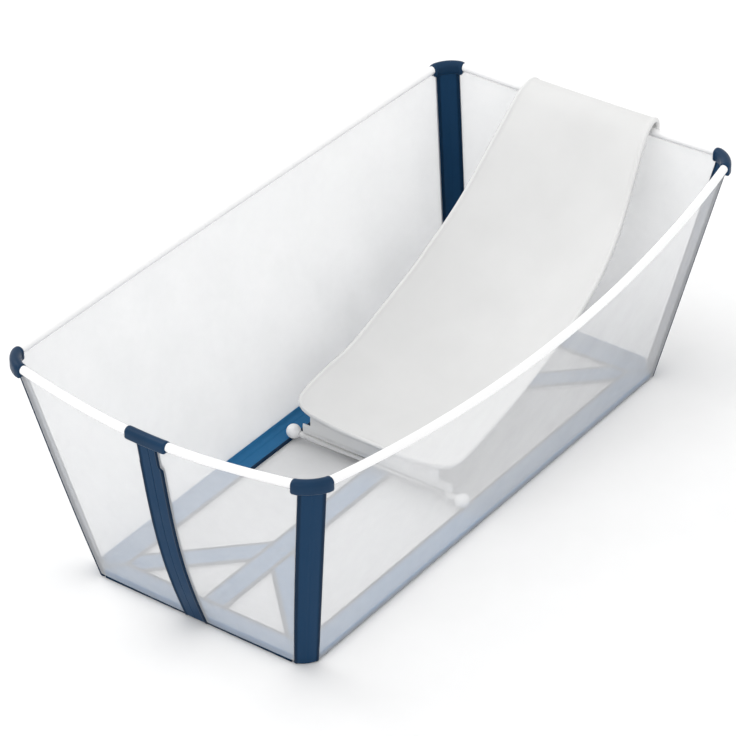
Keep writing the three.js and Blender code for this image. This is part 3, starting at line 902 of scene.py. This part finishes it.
def drain(looks):
    """Drain ring with a rounded flange, and its plug with a grip tab in the middle."""
    low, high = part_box("drain_ring")
    centre = ((low.x + high.x) / 2, (low.y + high.y) / 2, 0)
    flange = [
        (0.0130, 0.0003), (0.0190, 0.0003), (0.0190, 0.0031), (0.0186, 0.0037), (0.0178, 0.0040),
        (0.0160, 0.0040), (0.0157, 0.0036), (0.0150, 0.0036), (0.0147, 0.0040), (0.0135, 0.0040),
        (0.0130, 0.0035),
    ]
    solid = ring(flange, centre)
    make_piece("drain_flange", solid, cap_finish(looks), "drain_ring", "base_left")
    plug = [
        (0.0004, 0.0005), (0.0110, 0.0005), (0.0120, 0.0012), (0.0124, 0.0043), (0.0127, 0.0045),
        (0.0156, 0.0045), (0.0160, 0.0049), (0.0160, 0.0054), (0.0154, 0.0061), (0.0146, 0.0063),
        (0.0125, 0.0060), (0.0100, 0.0058), (0.0060, 0.0059), (0.0042, 0.0064), (0.0034, 0.0074),
        (0.0033, 0.0090), (0.0040, 0.0100), (0.0038, 0.0107), (0.0028, 0.0110), (0.0004, 0.0110),
    ]
    solid = turned(plug, centre, "z")
    make_piece("drain_stopper", solid, cap_finish(looks), "drain_plug", "drain_plug")


def through(rows, share):
    """Smooth values through rows: cubic pieces over knots spaced by the root of the distance between rows,
    with slopes taken from the neighbouring rows."""
    knots = np.append(0, np.cumsum(np.linalg.norm(np.diff(rows[:, :2], axis=0), axis=-1) ** 0.5))
    slopes = np.gradient(rows, knots, axis=0)
    at = np.clip(share, 0, 1) * knots[-1]
    i = np.clip(np.searchsorted(knots, at, side="right") - 1, 0, len(rows) - 2)
    span = (knots[i + 1] - knots[i])[..., None]
    t = (at - knots[i])[..., None] / span
    value = (1 + 2 * t) * (1 - t) ** 2 * rows[i] + t**2 * (3 - 2 * t) * rows[i + 1]
    return value + t * (1 - t) ** 2 * span * slopes[i] - t**2 * (1 - t) * span * slopes[i + 1]


def support_point(share, across):
    """The newborn support's surface: a row of the table, sagging between its edges by a power curve."""
    x, z, depth, width = np.moveaxis(through(SUPPORT_ROWS, share), -1, 0)
    sag = depth * (1 - np.abs(across) ** SCOOP_POWER)
    return np.stack([x + SCOOP_LEAN * sag, across * width, z - sag], -1)


def newborn_support(looks):
    """The reclined scoop with its rolled rim, its front skirt and the two lugs that hold the stand."""
    finish = support_finish(looks)
    lengths = (0.46, 0.18)

    def scoop(u, v):
        return support_point(u, 2 * v - 1)

    solid, _ = shell(scoop, lengths, (120, 48), SUPPORT_SHEET, bead=looks.support_rim_radius)
    make_piece("support_scoop", solid, finish, "support_shell", "newborn_support")

    low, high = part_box("support_skirt")
    row = SUPPORT_ROWS[1]

    def skirt(u, v):
        across = lerp(low.y, high.y, u)
        sag = (row[2] + 0.0005) * (1 - np.abs(across / (row[3] + 0.001)) ** SCOOP_POWER)
        top = high.z + 0.0015 - (sag - sag.min())
        return np.stack(np.broadcast_arrays((low.x + high.x) / 2, across, lerp(low.z, top, v)), -1)

    solid, _ = shell(skirt, (high.y - low.y, high.z - low.z), (40, 8), SKIRT_SHEET)
    make_piece("support_front_skirt", solid, finish, "support_skirt", "newborn_support")

    for side_name, _ in SIDES:
        node_name = f"support_lug_{side_name}"
        solid = rounded_block(*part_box(node_name), 0.0012)
        make_piece(f"stand_lug_{side_name}", solid, finish, node_name, "newborn_support")


def rounded_block(low, high, radius):
    """A block with rounded edges: superellipses across Y that shrink at the ends as a quarter circle."""
    centre = (low + high) / 2
    half = (high - low) / 2
    angle = np.linspace(0, 2 * np.pi, 40, endpoint=False)
    power = 0.35
    across = np.sign(np.cos(angle)) * np.abs(np.cos(angle)) ** power * half.x
    up = np.sign(np.sin(angle)) * np.abs(np.sin(angle)) ** power * half.z
    along = spaced(2 * half.y, (radius, radius), 6) * 2 * half.y
    near_end = np.minimum(along, 2 * half.y - along)
    inset = radius * (1 - quarter_round(near_end, radius))[:, None]
    x = centre.x + across * (1 - inset / half.x)
    z = centre.z + up * (1 - inset / half.z)
    y = np.broadcast_to((low.y + along)[:, None], x.shape)
    return skin(np.stack([x, y, z], -1))


def rod_profile(radius, half, groove):
    """A rod's (radius, height) profile about its middle: domed ends and a shallow groove near each end."""
    angles = np.linspace(0.1, np.pi / 2, 6)
    dome = [(radius * math.sin(a), half - radius * 0.5 * (1 - math.cos(a))) for a in angles]
    marks = [half - 0.006, half - 0.0065, half - 0.0085, half - 0.009]
    depths = [radius, radius - groove, radius - groove, radius]
    upper = dome + list(zip(depths, marks))
    lower = [(r, -h) for r, h in reversed(upper)]
    return lower + upper[::-1]


def ball_profile(radius, side):
    """A ball foot's profile along Y: a short collar on the inner side, then a ball with a flattened tip."""
    angles = np.linspace(0.5, np.pi - 0.12, 22)
    ball = [(radius * math.sin(a), -radius * math.cos(a)) for a in angles]
    collar = [(0.0006, -radius), (0.0030, -radius), (0.0034, -radius * 0.94)]
    return [(r, side * h) for r, h in collar + ball]


def support_stand(looks):
    """The folding stand under the lower end: hinge rod, leg plate, foot bar and two ball feet."""
    finish = support_finish(looks)
    body = "support_stand"
    for node_name, name in (("support_hinge_rod", "stand_rod"), ("support_foot_bar", "stand_foot_bar")):
        low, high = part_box(node_name)
        profile = rod_profile((high.z - low.z) / 2, high.y, 0.0005)
        solid = turned(profile, (low + high) / 2, "y", 32)
        make_piece(name, solid, finish, node_name, body)

    low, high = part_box("support_leg_plate")
    rib_count = 7

    def plate(u, v):
        middle = (low.x + high.x) / 2
        return np.stack(np.broadcast_arrays(middle, lerp(low.y, high.y, u), lerp(low.z, high.z, v)), -1)

    def ribs(u, v):
        return 1 - 0.2 * np.clip(np.sin(u * 2 * np.pi * rib_count) * 4, 0, 1)

    lengths = (high.y - low.y, high.z - low.z)
    solid, _ = shell(plate, lengths, (140, 6), SUPPORT_SHEET, relief=ribs)
    make_piece("stand_leg_plate", solid, finish, "support_leg_plate", body)

    for side_name, side in SIDES:
        node_name = f"support_foot_{side_name}"
        low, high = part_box(node_name)
        solid = turned(ball_profile((high.z - low.z) / 2, side), (low + high) / 2, "y", 44)
        make_piece(f"ball_foot_{side_name}", solid, white_rim(looks), node_name, body)


# ---- stage ----
CAMERA_TARGET = Vector((-0.0048, 0.0173, 0.1050))
CAMERA_DISTANCE = 3.09
CAMERA_AZIMUTH = math.radians(-53.8)
CAMERA_ELEVATION = math.radians(33.5)
CAMERA_ROLL = math.radians(-0.4)
CAMERA_LENS = 167.2


def stage_floor(looks):
    """A wide pale floor just under the tub."""
    half = 12.0
    corners = [(-half, -half, 0), (half, -half, 0), (half, half, 0), (-half, half, 0)]
    mesh = bpy.data.meshes.new("floor")
    mesh.from_pydata(corners, [], [(0, 1, 2, 3)])
    mesh.materials.append(floor_finish())
    floor = bpy.data.objects.new("floor", mesh)
    bpy.context.scene.collection.objects.link(floor)


def area_light(name, place, target, size, power):
    light = bpy.data.lights.new(name, "AREA")
    light.size = size
    light.energy = power
    holder = bpy.data.objects.new(name, light)
    holder.location = place
    holder.rotation_euler = (Vector(target) - Vector(place)).to_track_quat("-Z", "Y").to_euler()
    bpy.context.scene.collection.objects.link(holder)


def stage_lights(looks):
    area_light("key", (-0.5, 2.4, 2.6), (0, 0, 0.1), 1.8, looks.key_power)
    area_light("fill", (-2.6, -0.2, 1.5), (0, 0, 0.1), 1.6, looks.fill_power)
    area_light("top", (0.2, 0.1, 3.0), (0, 0, 0), 1.6, looks.top_power)
    area_light("low_fill", (0.6, -2.6, 0.5), (0.1, 0, 0.1), 1.8, looks.fill_power)
    world = bpy.data.worlds.new("studio")
    world.use_nodes = True
    background = world.node_tree.nodes["Background"]
    background.inputs["Color"].default_value = (1.0, 1.0, 1.0, 1.0)
    background.inputs["Strength"].default_value = looks.surround
    bpy.context.scene.world = world
    bpy.context.scene.view_settings.view_transform = "Standard"


def stage_camera(looks):
    """A long lens at the viewing angle, turned about its own line of sight by the small roll."""
    back = Vector((
        math.sin(CAMERA_AZIMUTH) * math.cos(CAMERA_ELEVATION),
        -math.cos(CAMERA_AZIMUTH) * math.cos(CAMERA_ELEVATION),
        math.sin(CAMERA_ELEVATION),
    ))
    level = (-back).to_track_quat("-Z", "Y").to_matrix().to_4x4()
    data = bpy.data.cameras.new("camera")
    data.lens = CAMERA_LENS
    data.sensor_width = 36
    data.clip_end = 100
    camera = bpy.data.objects.new("camera", data)
    place = Matrix.Translation(CAMERA_TARGET + back * CAMERA_DISTANCE)
    camera.matrix_world = place @ level @ Matrix.Rotation(CAMERA_ROLL, 4, "Z")
    bpy.context.scene.collection.objects.link(camera)
    bpy.context.scene.camera = camera


# ---- settings, operators and panel ----

def colour_property(name, description, default):
    return bpy.props.FloatVectorProperty(
        name=name, description=description, subtype="COLOR", size=3, min=0, max=1, default=default)


def amount_property(name, description, default, unit="NONE"):
    return bpy.props.FloatProperty(
        name=name, description=description, default=default, unit=unit, precision=4)


class BathtubLooks(bpy.types.PropertyGroup):
    """Sizes and colours that a user would change."""

    panel_thickness: amount_property("Panel thickness", "Thickness of the frosted sheets", 0.0024, "LENGTH")
    strip_thickness: amount_property(
        "Strip thickness", "Thickness of the upright hinge strips", 0.0042, "LENGTH")
    support_rim_radius: amount_property(
        "Support rim", "Radius of the newborn support's rolled rim", 0.0023, "LENGTH")
    panel_veil: amount_property("Panel veil", "How much one face of a frosted sheet hides", 0.36)
    panel_colour: colour_property("Panels", "Colour of the frosted sheets", (0.815, 0.82, 0.83))
    rim_colour: colour_property("Rim", "Colour of the rim beads and ball feet", (0.88, 0.88, 0.88))
    support_colour: colour_property("Support", "Colour of the newborn support", (0.68, 0.68, 0.675))
    strip_colour: colour_property("Strips", "Colour of the upright strips and caps", (0.006, 0.036, 0.088))
    strip_border: colour_property("Borders", "Colour of the raised strip borders", (0.001, 0.014, 0.038))
    channel_colour: colour_property("Channels", "Colour inside the floor strips", (0.020, 0.125, 0.275))
    key_power: amount_property("Key light", "Power of the light beyond the left wall", 30.0, "POWER")
    fill_power: amount_property(
        "Fill lights", "Power of each light beyond the foot end and the right wall", 8.0, "POWER")
    top_power: amount_property("Top light", "Power of the light straight above", 5.0, "POWER")
    surround: amount_property("Surround", "Strength of the even light from all round", 1.0)


class MakerOperator:
    """What the operators share: each runs its makers with the scene's settings."""

    def execute(self, context):
        for maker in self.makers:
            maker(context.scene.bathtub_looks)
        return {"FINISHED"}


class BATHTUB_OT_stage(MakerOperator, bpy.types.Operator):
    """Set up the floor, the lights and the camera"""

    bl_idname = "bathtub.stage"
    bl_label = "Stage"
    makers = (stage_floor, stage_lights, stage_camera)


class BATHTUB_OT_wall_panels(MakerOperator, bpy.types.Operator):
    """Make the two long wall sheets"""

    bl_idname = "bathtub.wall_panels"
    bl_label = "Wall panels"
    makers = (wall_panels,)


class BATHTUB_OT_end_panels(MakerOperator, bpy.types.Operator):
    """Make the four half sheets of the ends"""

    bl_idname = "bathtub.end_panels"
    bl_label = "End panels"
    makers = (end_panels,)


class BATHTUB_OT_base_panels(MakerOperator, bpy.types.Operator):
    """Finish the flat base panels"""

    bl_idname = "bathtub.base_panels"
    bl_label = "Base panels"
    makers = (base_panels,)


class BATHTUB_OT_upright_strips(MakerOperator, bpy.types.Operator):
    """Make the upright hinge strips at the corners and the ends"""

    bl_idname = "bathtub.upright_strips"
    bl_label = "Upright strips"
    makers = (corner_strips, end_strips)


class BATHTUB_OT_floor_strips(MakerOperator, bpy.types.Operator):
    """Make the hinge strips of the base"""

    bl_idname = "bathtub.floor_strips"
    bl_label = "Floor strips"
    makers = (wall_floor_strips, end_floor_strips, centre_strips, diagonal_strips)


class BATHTUB_OT_rim(MakerOperator, bpy.types.Operator):
    """Make the rim beads and their caps"""

    bl_idname = "bathtub.rim"
    bl_label = "Rim"
    makers = (rim_beads, rim_caps)


class BATHTUB_OT_drain(MakerOperator, bpy.types.Operator):
    """Make the drain ring and its plug"""

    bl_idname = "bathtub.drain"
    bl_label = "Drain"
    makers = (drain,)


class BATHTUB_OT_newborn_support(MakerOperator, bpy.types.Operator):
    """Make the newborn support and its folding stand"""

    bl_idname = "bathtub.newborn_support"
    bl_label = "Newborn support"
    makers = (newborn_support, support_stand)


OPERATORS = (
    BATHTUB_OT_stage,
    BATHTUB_OT_wall_panels,
    BATHTUB_OT_end_panels,
    BATHTUB_OT_base_panels,
    BATHTUB_OT_upright_strips,
    BATHTUB_OT_floor_strips,
    BATHTUB_OT_rim,
    BATHTUB_OT_drain,
    BATHTUB_OT_newborn_support,
)


class BATHTUB_PT_sidebar(bpy.types.Panel):
    """Lists the bathtub's settings and its pieces"""

    bl_label = "Folding Baby Bathtub"
    bl_idname = "BATHTUB_PT_sidebar"
    bl_space_type = "VIEW_3D"
    bl_region_type = "UI"
    bl_category = "Bathtub"

    def draw(self, context):
        for name in BathtubLooks.__annotations__:
            self.layout.prop(context.scene.bathtub_looks, name)
        for operator in OPERATORS:
            self.layout.operator(operator.bl_idname)


CLASSES = (BathtubLooks, *OPERATORS, BATHTUB_PT_sidebar)


def register():
    for cls in CLASSES:
        bpy.utils.register_class(cls)
    bpy.types.Scene.bathtub_looks = bpy.props.PointerProperty(type=BathtubLooks)


def unregister():
    del bpy.types.Scene.bathtub_looks
    for cls in reversed(CLASSES):
        bpy.utils.unregister_class(cls)


def main():
    register()
    for operator in OPERATORS:
        group, name = operator.bl_idname.split(".")
        getattr(getattr(bpy.ops, group), name)()


if __name__ == "__main__":
    main()
